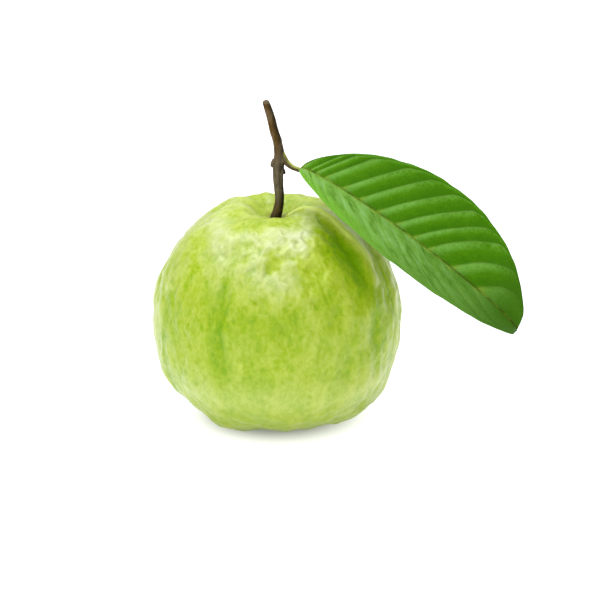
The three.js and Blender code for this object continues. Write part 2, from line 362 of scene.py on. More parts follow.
def fruit_tree():
    """The fruit, grown from the faces of a cube: first its profile, then its relief."""
    numbers = ["Radius", "Widest Height", "Dome Height", "Dimple Depth", "Dimple Radius",
               "Basin Depth", "Basin Radius", "Swell", "Pleats", "Lumps", "Wrinkles", "Pebbles"]
    tree, given = geometry_tree("fruit_form", numbers, has_input=False)
    wire = Wire(tree)
    per_side = FACES_PER_SIDE + 1
    cube = wire.node("GeometryNodeMeshCube", {
        "Size": (2, 2, 2), "Vertices X": per_side, "Vertices Y": per_side, "Vertices Z": per_side,
    })
    # Rays from the cube's middle through its corners, which the tangent spreads evenly.
    spot = wire.node("GeometryNodeInputPosition")
    scaled = wire.vector("MULTIPLY", spot, (math.pi / 4,) * 3)
    ray = wire.vector("NORMALIZE", wire.vector("TANGENT", scaled))
    up = ray.axis("Z")
    across = wire.math("SQRT", (1.0 - up * up).clamped())

    # Profile: a rounded box whose fullness changes from the base to the dome, then the two hollows.
    dome = 1.0 / (wire.math("EXPONENT", up * -FULLNESS_CHANGE) + 1.0)
    fullness = dome * (DOME_FULLNESS - BASE_FULLNESS) + BASE_FULLNESS
    above = wire.math("GREATER_THAN", up, 0.0)
    below = 1.0 - above
    reach = above * given["Dome Height"] + below * (given["Widest Height"] + BASE_FLAT)
    squareness = (across / given["Radius"]) ** fullness
    squareness = squareness + (abs(up) / reach) ** fullness
    distance = squareness ** (-1.0 / fullness)
    radius = distance * across
    height = wire.math("MAXIMUM", given["Widest Height"] + distance * up, 0.0)
    dimple = above * given["Dimple Depth"] * radius.bell(given["Dimple Radius"])
    inside = (1.0 - (radius / given["Basin Radius"]) ** 2.0).clamped()
    basin = below * given["Basin Depth"] * inside * inside
    form = wire.node("ShaderNodeCombineXYZ", {
        "X": ray.axis("X") * distance,
        "Y": ray.axis("Y") * distance,
        "Z": height - dimple + basin,
    })
    shaped = wire.node("GeometryNodeSetPosition", {"Geometry": cube, "Position": form})

    # Relief in millimetres, outwards: swells, pleats and folds, lumps, wrinkles and pebbles.
    place = wire.node("GeometryNodeInputPosition")
    level = place.axis("Z")
    flat = place.stretched(1, 1, 0)
    around = wire.vector("NORMALIZE", flat)
    outward = flat.length()
    turn = wire.math("ARCTAN2", place.axis("X"), -place.axis("Y"))
    swell = noise(wire, place, SWELL_RIPPLES, detail=1.0, offset=(0.4, 0.1, 0.2)) * given["Swell"]
    sides = wire.vector("ADD", around, place.stretched(*PLEAT_DRIFT))
    pleating = noise(wire, sides, PLEAT_RIPPLES, detail=1.5, offset=(3.1, 0, 7))
    top = level.ramp(WIDEST_HEIGHT, WIDEST_HEIGHT + HALVES_BLEND)
    at_stem = top * (outward - PLEAT_MIDDLE).bell(PLEAT_SPREAD)
    pleat = pleating * given["Pleats"] * (PLEAT_LEAST + at_stem)
    tall = place.stretched(*TALLER)
    lumps = noise(wire, tall, LUMP_RIPPLES, detail=1.0, offset=(0.2, 0.5, 0)) * given["Lumps"]
    crumple = noise(wire, tall, WRINKLE_RIPPLES, detail=2.5, offset=(0.7, 0.1, 0.3))
    crumpled = wire.vector("SUBTRACT", place, CRUMPLED_PLACE).length()
    crumpling = crumpled.ramp(CRUMPLED_FAR, CRUMPLED_NEAR, CRUMPLED_LEAST, CRUMPLED_MOST)
    softness = crumpled.ramp(CRUMPLED_NEAR, CRUMPLED_FAR, CREASE_SHARP, CREASE_SOFT)
    crease = wire.math("SQRT", crumple * crumple + softness * softness)
    wrinkle = (CREASE_LEVEL - crease) * given["Wrinkles"] * crumpling
    crinkle = noise(wire, tall, PEBBLE_RIPPLES, roughness=0.6, offset=(0.1, 0.9, 0.4))
    pebbles = (PEBBLE_LEVEL - abs(crinkle)) * given["Pebbles"]
    waver = noise(wire, place, WAVER_RIPPLES, offset=(0.9, 0.2, 0.6)) * FOLD_WAVER
    fold = fold_rise(wire, FOLDS, level, turn + waver)
    bulge = fold_rise(wire, BULGES, level, turn)
    lively = top * outward.ramp(*TOP_CALM) + (1.0 - top) * outward.ramp(*BASE_CALM)
    relief = (swell + pleat + lumps + wrinkle + pebbles + fold) * lively
    stored = stored_number(shaped, "relief", relief)
    stored = stored_number(stored, "fold", fold)
    lip = wire.vector("SUBTRACT", place, LIP_PLACE).stretched(*LIP_WIDER).length()
    raised = relief + bulge * lively - lip.bell(LIP_REACH) * LIP_DROP
    outwards = wire.node("GeometryNodeInputNormal").scaled(raised * MM)
    moved = wire.vector("ADD", place, outwards)
    resting = wire.vector("MAXIMUM", moved, BELOW_FLOOR)
    lumpy = wire.node("GeometryNodeSetPosition", {"Geometry": stored, "Position": resting})
    close_tree(tree, lumpy, given["Material"])
    return tree


# Skin: yellow-green wax over pale flesh, deeper green in the hollows and paler on the lumps, partly
# its own colour and partly painted shade and light. A milky bloom lies on the crown and faintly round
# the lower edge, with a painted highlight and sheen in it. The foot is olive and darkened with painted
# shade, and painted shade darkens the dimple round the twig.
SKIN_DEEP = (0.165, 0.33, 0.0, 1)
SKIN_GREEN = (0.29, 0.42, 0.008, 1)
SKIN_PALE = (0.42, 0.52, 0.06, 1)
SKIN_RIDGE_LIT = (0.64, 0.76, 0.15, 1)
SKIN_BLOOM_SHEEN = (0.60, 0.645, 0.42, 1)
SKIN_OLIVE = (0.24, 0.27, 0.0, 1)
SKIN_DIMPLE_SHADE = (0.20, 0.19, 0.03, 1)
SKIN_LEAST_TONE = 0.22
FLECK_RIPPLES = 520
NETWORK_RIPPLES = 300
BLOTCH_RIPPLES = 90
PATCH_RIPPLES = 62
FLECK_GRAIN = (1, 1, 0.75)
BLOTCH_GRAIN = (1, 1, 0.5)

# Where each tint begins and where it is full: heights, distances from the axis, or places along X.
FOOT_HEIGHTS = (21 * MM, 3 * MM)
FOOT_RADII = (22 * MM, 34 * MM)
CROWN_HEIGHTS = (52 * MM, 84 * MM)
DIMPLE_SHADE_RADII = (6 * MM, 1.5 * MM)
LOW_SIDE_LIGHT_HEIGHTS = (42 * MM, 22 * MM)
LOW_SIDE_LIGHT_ALONG = (-10 * MM, 14 * MM)
BLOOM_HIGHLIGHT_RIGHT = (16 * MM, 10.5 * MM)
BLOOM_HIGHLIGHT_LEFT = (-16 * MM, -5 * MM)
BLOOM_HIGHLIGHT_TOP = (87 * MM, 80 * MM)
FAINT_BLOOM_SHEEN_LEFT = (-6 * MM, -24 * MM)
LOW_BLOOM_SHEEN_HEIGHTS = (34 * MM, 18 * MM)


def skin_material():
    material, wire, shader = new_material("guava_skin")
    place = wire.node("ShaderNodeTexCoord").output("Object")
    relief = wire.kept("relief")
    tall = place.stretched(*FLECK_GRAIN)
    blotch = noise(wire, place.stretched(*BLOTCH_GRAIN), BLOTCH_RIPPLES, detail=3.0, swirl=1.5)
    fleck = noise(wire, tall, FLECK_RIPPLES, detail=3.0, roughness=0.65)
    network = noise(wire, tall, NETWORK_RIPPLES, detail=3.0, roughness=0.6, offset=(0.6, 0.2, 0.8))
    net = (0.22 - abs(network)) * 2.2
    fold = wire.kept("fold")
    along = place.axis("X")
    height = place.axis("Z")
    out = place.stretched(1, 1, 0).length()

    # Where each tint lies: the foot, darkened with painted shade; the crown, painted paler; its front,
    # with bloom and a painted highlight; a lower side, painted lighter; and the ridges, painted
    # lighter.
    foot = height.ramp(*FOOT_HEIGHTS) * out.ramp(*FOOT_RADII, 0.3, 1.0)
    # Painted light: the crown's tone is raised, so the top is paler.
    crown = height.ramp(*CROWN_HEIGHTS)
    # Painted highlight and bloom: the front of the crown, where the highlight lies.
    bloom_highlight_zone = along.ramp(*BLOOM_HIGHLIGHT_RIGHT) * along.ramp(*BLOOM_HIGHLIGHT_LEFT, 0.5)
    bloom_highlight_zone = bloom_highlight_zone * crown * height.ramp(*BLOOM_HIGHLIGHT_TOP)
    # Painted light: the lower right side is painted paler.
    low_side_light = along.ramp(*LOW_SIDE_LIGHT_ALONG) * height.ramp(*LOW_SIDE_LIGHT_HEIGHTS) * (1.0 - foot)
    # Painted light: raised folds, most of all the one beside the leaf, are painted paler against its
    # shadow.
    lit_ridges = fold.ramp(0.1, 0.9)

    # Tone runs from deep green at 0 through green to pale at 1.
    # Painted shade in the hollows and painted light on the lumps, partly the skin's own deeper green.
    tone = wire.math("MAXIMUM", relief, -0.9) * 0.24 + blotch * 0.45 + fleck * 0.45 + net * 0.4
    # Painted shade darkens the foot; painted light lifts the crown and the lower right side.
    tone = tone - foot * 0.5 + crown * 0.2 + low_side_light * 0.18 + 0.5
    # Painted shade in the furrows and painted light on the ridges; on the right shoulder it is the
    # leaf's painted shadow.
    tone = (tone.clamped(SKIN_LEAST_TONE) + fold * 0.34).clamped()
    low = (tone * 2.0).clamped().colour(SKIN_DEEP, SKIN_GREEN)
    skin = (tone * 2.0 - 1.0).clamped().colour(low, SKIN_PALE)
    skin = lit_ridges.colour(skin, SKIN_RIDGE_LIT)
    patch = noise(wire, place, PATCH_RIPPLES, detail=3.0, roughness=0.6, offset=(0.3, 0.6, 0.1))
    # Painted highlight and sheen, partly a real milky bloom: patches on the front of the crown, faint
    # on the crown's left and round the lower edge.
    bloom_and_sheen = bloom_highlight_zone * (patch * 3.0 + relief * 0.5 + fleck * 0.4 + 0.1)
    bloom_and_sheen = bloom_and_sheen + crown * along.ramp(*FAINT_BLOOM_SHEEN_LEFT) * 0.3
    bloom_and_sheen = bloom_and_sheen + height.ramp(*LOW_BLOOM_SHEEN_HEIGHTS) * (1.0 - foot) * 0.19
    colour = (bloom_and_sheen.clamped() * 0.65).colour(skin, SKIN_BLOOM_SHEEN)
    colour = (foot * 0.55).colour(colour, SKIN_OLIVE)
    # Painted shade: the dimple's floor round the twig's foot is painted dark brown.
    colour = (out.ramp(*DIMPLE_SHADE_RADII) * crown).colour(colour, SKIN_DIMPLE_SHADE)
    wax = relief * 0.2 + wire.math("MINIMUM", fold, 0.0) * 0.5 + patch * 0.9
    wax = wax + net * 0.2 + fleck * 0.2 + 0.42
    wax = (wax - lit_ridges * 0.4).clamped() * (1.0 - foot * 0.8)
    feed(shader, {
        "Base Color": colour,
        "Roughness": 0.40 - wax * 0.08,
        "Normal": (fleck * 0.6 + net * 0.35).bump(0.5, 0.3 * MM),
        "Subsurface Weight": 0.12,
        "Subsurface Radius": (1.0, 1.2, 0.4),
        "Subsurface Scale": 2.5 * MM,
        "Specular IOR Level": 0.15,
        "Coat Weight": wax * 0.85,
        "Coat Roughness": 0.3,
    })
    return material


fruit = grown("guava_fruit", fruit_tree(), skin_material(), {
    "Radius": FRUIT_RADIUS, "Widest Height": WIDEST_HEIGHT, "Dome Height": DOME_HEIGHT,
    "Dimple Depth": DIMPLE_DEPTH, "Dimple Radius": DIMPLE_RADIUS,
    "Basin Depth": BASIN_DEPTH, "Basin Radius": BASIN_RADIUS,
    "Swell": 1.0, "Pleats": 1.4, "Lumps": 1.3, "Wrinkles": 2.0, "Pebbles": 0.3,
})
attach(fruit, "root")
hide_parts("fruit")


# ---- Twig ------------------------------------------------------------------------------------------
# A crooked woody twig, broken off above and grown into the stem dimple below. Its thin bark is ridged
# along its length; at its node sit the scar of a lost leaf and the stub of a bud.

# x, y, z and radius along its middle from the foot to the broken end, in millimetres.
TWIG_STATIONS = [
    (-1.0, -0.2, 77, 2.1),
    (-0.2, 0, 80.3, 2.0),
    (0.6, 0.2, 83.5, 1.85),
    (1.1, 0.2, 87.0, 1.75),
    (0.8, 0.3, 91.5, 1.85),
    (0.5, 0.3, 95.5, 1.95),
    (0.7, -0.2, 100, 2.15),
    (1.0, -0.6, 104, 2.0),
    (0.4, -1.2, 109, 1.75),
    (-0.9, -2, 113.8, 1.63),
    (-2.1, -3, 118.9, 1.55),
    (-3.7, -4, 124, 1.35),
]
BREAK_STATIONS = [
    (-3.75, -3.8, 124.25, 1.25),
    (-3.76, -3.6, 124.4, 0.8),
    (-3.76, -3.45, 124.42, 0.1),
]
LEAF_SCAR = [
    (-0.7, -0.6, 102.2, 0.9),
    (-1.35, -0.7, 100.9, 0.85),
    (-1.75, -0.8, 100.0, 0.6),
    (-1.85, -0.8, 99.4, 0.25),
]
BUD_STUB = [
    (1.2, -0.6, 99.6, 1.1),
    (2.1, -0.7, 98.2, 0.95),
    (2.85, -0.8, 97.1, 0.65),
    (3.1, -0.8, 96.5, 0.2),
]
LINE_STEPS = 8
TWIG_SIDES = 48
RIDGE_GRAIN = (1, 1, 0.13)
KNOB_RIPPLES = 300


def smooth_line(stations):
    """Rows of x, y, z and radius in millimetres, on a smooth line through such stations."""
    knots = np.array(stations)
    first, last = 2 * knots[0] - knots[1], 2 * knots[-1] - knots[-2]
    padded = np.vstack([first, knots, last])
    rows = []
    for before, start, end, after in zip(padded, padded[1:], padded[2:], padded[3:]):
        for share in np.arange(LINE_STEPS) / LINE_STEPS:
            bend = (2 * before - 5 * start + 4 * end - after) * share ** 2
            twist = (3 * start - before - 3 * end + after) * share ** 3
            rows.append(start + ((end - before) * share + bend + twist) / 2)
    return np.array(rows + [knots[-1]])


def line_mesh(name, lines):
    """Loose edges along lines of such rows, with the radius kept as thickness: rods grow on them."""
    mesh = bpy.data.meshes.new(name)
    rows = np.vstack(lines)
    edges = []
    start = 0
    for line in lines:
        edges += [(start + step, start + step + 1) for step in range(len(line) - 1)]
        start += len(line)
    mesh.from_pydata((rows[:, :3] * MM).tolist(), edges, [])
    thickness = mesh.attributes.new("thickness", "FLOAT", "POINT")
    thickness.data.foreach_set("value", rows[:, 3])
    return mesh


def rod_tree():
    """Round rods along edges; bark is ridged along them and knobbed, in millimetres."""
    numbers = ["Sides", "Ridges", "Ridge Scale", "Knobs"]
    tree, given = geometry_tree("rods_on_lines", numbers)
    wire = Wire(tree)
    curve = wire.node("GeometryNodeMeshToCurve", {"Mesh": given["Geometry"]})
    ring = wire.node("GeometryNodeCurvePrimitiveCircle", {
        "Resolution": given["Sides"], "Radius": MM,
    })
    thickness = wire.node("GeometryNodeInputNamedAttribute", {"Name": "thickness"}, data_type="FLOAT")
    rods = wire.node("GeometryNodeCurveToMesh", {
        "Curve": curve, "Profile Curve": ring, "Scale": thickness, "Fill Caps": True,
    })
    place = wire.node("GeometryNodeInputPosition")
    grain = noise(wire, place.stretched(*RIDGE_GRAIN), given["Ridge Scale"])
    knob = noise(wire, place, KNOB_RIPPLES, offset=(0.3, 0.2, 0))
    relief = grain * given["Ridges"] + knob * given["Knobs"]
    stored = stored_number(rods, "relief", relief)
    outwards = wire.node("GeometryNodeInputNormal").scaled(relief * MM)
    lit_ridges = wire.node("GeometryNodeSetPosition", {"Geometry": stored, "Offset": outwards})
    close_tree(tree, lit_ridges, given["Material"])
    return tree


# Bark: grey where it weathers, rusty on the young wood above and nearly black in the cracks; painted
# shade darkens its +X side and turns its foot nearly black where it enters the dimple. The broken end
# is bare wood.
BARK_GREY = (0.115, 0.09, 0.055, 1)
BARK_RUST = (0.10, 0.052, 0.009, 1)
BARK_DARK = (0.020, 0.015, 0.006, 1)
BARK_CRACK = (0.012, 0.008, 0.003, 1)
BARK_RIDGE = (0.22, 0.17, 0.11, 1)
BROKEN_WOOD = (0.13, 0.10, 0.055, 1)
FIBRE_RIPPLES = 1500
FIBRE_GRAIN = (1, 1, 0.1)
STREAK_RIPPLES = 800
STREAK_GRAIN = (1, 1, 0.07)
WEATHER_RIPPLES = 260
WEATHER_GRAIN = (1, 1, 0.4)
YOUNG_HEIGHTS = (99 * MM, 112 * MM)
RUSTY_FOOT_HEIGHTS = (88 * MM, 83 * MM)
FOOT_SHADE_HEIGHTS = (83 * MM, 79.5 * MM)
BROKEN_HEIGHTS = (124.15 * MM, 124.3 * MM)


def bark_material():
    material, wire, shader = new_material("guava_bark")
    place = wire.node("ShaderNodeTexCoord").output("Object")
    height = place.axis("Z")
    aside = wire.node("ShaderNodeNewGeometry").output("Normal").axis("X")
    relief = wire.kept("relief")
    fibre = noise(wire, place.stretched(*FIBRE_GRAIN), FIBRE_RIPPLES, detail=4.0, roughness=0.6)
    weather = noise(wire, place.stretched(*WEATHER_GRAIN), WEATHER_RIPPLES)
    streaky = place.stretched(*STREAK_GRAIN)
    streak = noise(wire, streaky, STREAK_RIPPLES, detail=3.0, offset=(0.3, 0.1, 0.2))
    rust = height.ramp(*YOUNG_HEIGHTS) + height.ramp(*RUSTY_FOOT_HEIGHTS) * 0.6
    rust = (rust + weather * 0.5).clamped()
    rind = rust.colour(BARK_GREY, BARK_RUST)
    # Painted shade: the bark is darker on its +X side.
    shaded_side = (aside.ramp(-0.4, 0.9) * 0.9 + weather * 0.25).clamped()
    rind = shaded_side.colour(rind, BARK_DARK)
    ridge = (relief * 5.0 + fibre * 0.5 + streak * 1.2).clamped()
    crack = (-(relief * 5.0 + fibre * 0.6 + streak * 0.6) - 0.1).clamped()
    lit = (ridge * (0.7 - rust * 0.35)).colour(rind, BARK_RIDGE)
    lined = (crack * 0.9).colour(lit, BARK_CRACK)
    # Painted shade: nearly black at the foot, where the twig enters the dimple.
    shaded_foot = (height.ramp(*FOOT_SHADE_HEIGHTS) * 0.8).colour(lined, BARK_CRACK)
    broken = height.ramp(*BROKEN_HEIGHTS)
    feed(shader, {
        "Base Color": broken.colour(shaded_foot, BROKEN_WOOD),
        "Roughness": 0.72 - ridge * 0.12,
        "Normal": fibre.bump(0.6, 0.2 * MM),
        "Specular IOR Level": 0.08,
    })
    return material


RODS = rod_tree()
twig_lines = [
    smooth_line(stations) for stations in (TWIG_STATIONS + BREAK_STATIONS, LEAF_SCAR, BUD_STUB)
]
twig = grown("guava_twig", RODS, bark_material(), {
    "Sides": TWIG_SIDES, "Ridges": 0.3, "Ridge Scale": 620, "Knobs": 0.26,
}, line_mesh("twig_lines", twig_lines))
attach(twig, "root")
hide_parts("twig")


# ---- Leaf ------------------------------------------------------------------------------------------
# One thick leaf, folded along its midrib and arched over towards its tip. The green between its side
# veins is quilted upwards; underneath, the midrib and the veins stand out. Its short stalk grows out
# of the twig's flank just above the node.

# The blade's middle line and outline, in millimetres; its fold and cup are in radians.
BLADE_BASE = np.array((9.2, -3, 99.3))
BLADE_TIP = np.array((90.8, -20, 40.5))
BLADE_FACE = np.array((0.355, -0.643, 0.678))
BLADE_ARCH = 7
ARCH_ROUNDNESS = 0.545
BLADE_HALF_WIDTH = 26
WIDTH_SKEW = 0.07
UPPER_FOLD = 0.378
UPPER_TAPER = 0.73
LOWER_FOLD = 0.415
LOWER_TAPER = 0.587
BLADE_CUP = 0.2
BLADE_THICKNESS = 0.35
THINNEST_RIM = 0.2
BLADE_RIM_SHARPNESS = 40
UPPER_END = 0.35
LOWER_END = 1.7
END_START = 0.975
END_ROUNDING = 0.012
BLADE_STEPS = 260
BLADE_STEPS_ACROSS = 116
NEARBY = 0.01
RUN_STEPS = 1000

# Its margin is a little uneven, and its skin quilted between the veins.
MARGIN_RIPPLE = 0.07
RIPPLE_TURNS = (61, 97)
RIPPLE_SHIFT = 2
RIPPLE_START = 0.25
MARGIN_WAVE = 0.15
WAVE_TURNS = 31
WAVE_SLANT = 2
QUILT_RISE = 0.75
QUILT_FULLNESS = 0.75
LOWER_QUILT = 0.5
RIB_SHOULDER = 3.5
EDGE_BORDER = 0.12
MIDRIB_GROOVE = 0.4
GROOVE_WIDTH = 0.9
GROOVE_START = 0.06

# How far along the midrib each side vein leaves it on the upper half, in millimetres.
VEIN_STARTS = np.array((-4, 1, 4, 6.3, 10.2, 18.2, 25.7, 34, 42.3, 50.4, 57.5, 69, 81.5, 112))
LOWER_VEINS_EARLIER = 2.3
VEIN_SLANT = 0.62
VEIN_CURL = 0.5
VEIN_CURL_GAIN = 0.2
LOOP_START = 0.88
LOOP_BEND = 780

blade_chord = BLADE_TIP - BLADE_BASE
chord_way = blade_chord / np.linalg.norm(blade_chord)
blade_face = BLADE_FACE - chord_way * (BLADE_FACE @ chord_way)
blade_face = blade_face / np.linalg.norm(blade_face)


def midrib(along):
    """Places on the midrib, from 0 at the stalk to 1 at the tip."""
    arch = np.clip(4 * along * (1 - along), 0, 1) ** ARCH_ROUNDNESS
    straight = BLADE_BASE + np.multiply.outer(along, blade_chord)
    return straight + np.multiply.outer(arch, blade_face * BLADE_ARCH)


def midrib_frame(along):
    """Directions at those places: out of the blade's face, and across it to the upper half."""
    way = midrib(np.clip(along + NEARBY, 0, 1)) - midrib(np.clip(along - NEARBY, 0, 1))
    way = way / np.linalg.norm(way, axis=-1, keepdims=True)
    face = blade_face - way * (way @ blade_face)[..., None]
    face = face / np.linalg.norm(face, axis=-1, keepdims=True)
    return face, np.cross(face, way)


def half_width(along, across):
    """Width of the upper half where across is above zero, of the lower half elsewhere."""
    taper = np.where(across > 0, UPPER_TAPER, LOWER_TAPER)
    skew = 1 + WIDTH_SKEW * (along - 0.5)
    slow, quick = RIPPLE_TURNS
    ripple = MARGIN_RIPPLE * (np.sin(along * slow) + np.sin(along * quick + RIPPLE_SHIFT))
    ripple = ripple * np.clip(along / RIPPLE_START, 0, 1)
    return BLADE_HALF_WIDTH * skew * np.clip(4 * along * (1 - along), 0, 1) ** taper + ripple


def blade_place(along, across, lift):
    """Places on the blade: across runs from -1 at the lower edge to 1 at the upper one."""
    fold = np.where(across > 0, UPPER_FOLD, LOWER_FOLD)
    out = across * np.maximum(half_width(along, across), np.where(across > 0, UPPER_END, LOWER_END))
    nearly = np.clip((along - END_START) / (1 - END_START), 0, 1)
    along = along - END_ROUNDING * nearly * across ** 2
    rise = fold + BLADE_CUP * (np.abs(across) - 1) / 2
    face, aside = midrib_frame(along)
    sideways = aside * (out * np.cos(rise))[..., None]
    return midrib(along) + sideways + face * (np.abs(out) * np.sin(rise) + lift)[..., None]


def midrib_run():
    """A fine ladder of shares along the midrib, and the length run from the stalk to each."""
    shares = np.linspace(0, 1, RUN_STEPS + 1)
    steps = np.linalg.norm(np.diff(midrib(shares), axis=0), axis=1)
    return shares, np.concatenate([[0], np.cumsum(steps)])


RUN_SHARES, RUN_LENGTHS = midrib_run()


def panel_number(along, across):
    """Counts the panels between side veins: a whole number lies on a vein."""
    length = np.interp(along, RUN_SHARES, RUN_LENGTHS)
    away = np.abs(across)
    loop = LOOP_BEND * np.clip(away - LOOP_START, 0, 1) ** 2
    start = length - VEIN_SLANT * away * half_width(along, across) + VEIN_CURL * away ** 2 - loop
    start = start / (1 + VEIN_CURL_GAIN * away ** 2)
    start = start + np.where(across < 0, LOWER_VEINS_EARLIER, 0)
    return np.interp(start, VEIN_STARTS, np.arange(len(VEIN_STARTS)))


def quilting(along, across):
    """How far the blade's skin stands above its plain fold, in millimetres."""
    out = np.abs(across) * half_width(along, across)
    part = panel_number(along, across) % 1
    dome = np.sin(np.pi * part) ** QUILT_FULLNESS * np.where(across > 0, 1, LOWER_QUILT)
    from_rib = 1 - np.exp(-(out / RIB_SHOULDER) ** 2)
    from_edge = np.clip((1 - np.abs(across)) / EDGE_BORDER, 0, 1)
    groove = MIDRIB_GROOVE * np.exp(-((out / GROOVE_WIDTH) ** 2))
    groove = groove * np.clip(along / GROOVE_START, 0, 1)
    wave = MARGIN_WAVE * np.abs(across) ** 4 * np.sin(along * WAVE_TURNS + across * WAVE_SLANT)
    return QUILT_RISE * dome * from_rib * from_edge - groove + wave


def plate_grid(steps, steps_across):
    """Shares along and across a plate, one pair for each corner of one of its two skins."""
    lengthwise = np.linspace(0, 1, steps + 1)
    crosswise = np.linspace(-1, 1, steps_across + 1)
    return np.meshgrid(lengthwise, crosswise, indexing="ij")


def rim_share(across, sharpness):
    """How much of a plate's thickness is left towards its two long edges."""
    return np.maximum(np.sqrt(np.clip(1 - across ** sharpness, 0, 1)), THINNEST_RIM)


def plate_faces(shape):
    """Faces of a closed plate on such a grid: one skin, the other skin and the rim between them."""
    number = np.arange(shape[0] * shape[1]).reshape(shape)
    a, b = number[:-1, :-1].ravel(), number[1:, :-1].ravel()
    c, d = number[1:, 1:].ravel(), number[:-1, 1:].ravel()
    edge = np.concatenate([number[:-1, 0], number[-1, :-1], number[:0:-1, -1], number[0, :0:-1]])
    after = np.roll(edge, -1)
    return np.vstack([
        np.column_stack([a, b, c, d]),
        np.column_stack([d, c, b, a]) + number.size,
        np.column_stack([edge, edge + number.size, after + number.size, after]),
    ])


def plate_mesh(name, skins, faces):
    mesh = bpy.data.meshes.new(name)
    corners = np.vstack([skin.reshape(-1, 3) for skin in skins]) * MM
    mesh.from_pydata(corners.tolist(), [], faces.tolist())
    return mesh


def blade_mesh():
    along, across = plate_grid(BLADE_STEPS, BLADE_STEPS_ACROSS)
    lift = quilting(along, across)
    thin = BLADE_THICKNESS / 2 * rim_share(across, BLADE_RIM_SHARPNESS)
    skins = [blade_place(along, across, lift + thin), blade_place(along, across, lift - thin)]
    mesh = plate_mesh("guava_leaf_blade", skins, plate_faces(along.shape))
    upper, lower = np.zeros(along.shape), np.ones(along.shape)
    width = across * half_width(along, across)
    panel = panel_number(along, across)
    keep(mesh, "panel", panel, panel)
    keep(mesh, "side", across, across)
    keep(mesh, "out", width, width)
    keep(mesh, "run", along, along)
    keep(mesh, "under", upper, lower)
    mesh.shade_smooth()
    return mesh


def keep(mesh, name, upper, lower):
    """Stores a number for each corner of the upper and the lower skin."""
    both = np.concatenate([upper.ravel(), lower.ravel()])
    mesh.attributes.new(name, "FLOAT", "POINT").data.foreach_set("value", both)


# Leaf green: deep and a little glossy above, with painted light and shade on its quilts; on the half
# that turns down, a painted bluish sheen and painted shade; pale underneath.
LEAF_GREEN = (0.070, 0.215, 0.001, 1)
LEAF_SHADE = (0.044, 0.165, 0.0, 1)
LEAF_LIGHT = (0.135, 0.33, 0.045, 1)
LOWER_NEAR = (0.175, 0.37, 0.05, 1)
LOWER_FAR = (0.084, 0.215, 0.02, 1)
LOWER_SHADE = (0.055, 0.165, 0.015, 1)
LOWER_SHEEN = (0.21, 0.42, 0.12, 1)
LOWER_VIVID = (0.145, 0.385, 0.02, 1)
LEAF_TIP = (0.038, 0.125, 0.003, 1)
LEAF_MARGIN = (0.12, 0.34, 0.02, 1)
LEAF_UNDER = (0.17, 0.28, 0.07, 1)
VEIN_PALE = (0.24, 0.42, 0.10, 1)
RIB_OLIVE = (0.045, 0.06, 0.004, 1)
RIB_YELLOW = (0.22, 0.36, 0.03, 1)
MOTTLE_RIPPLES = 130
FINE_RIPPLES = 380
WORN_RIPPLES = 240
NET_CELLS = 520
RIB_HALF_WIDTH = 0.46
KNEE_REACH = 1.9
STREAKS_PER_PANEL = 1.7
STREAKS_PER_MM = 0.13


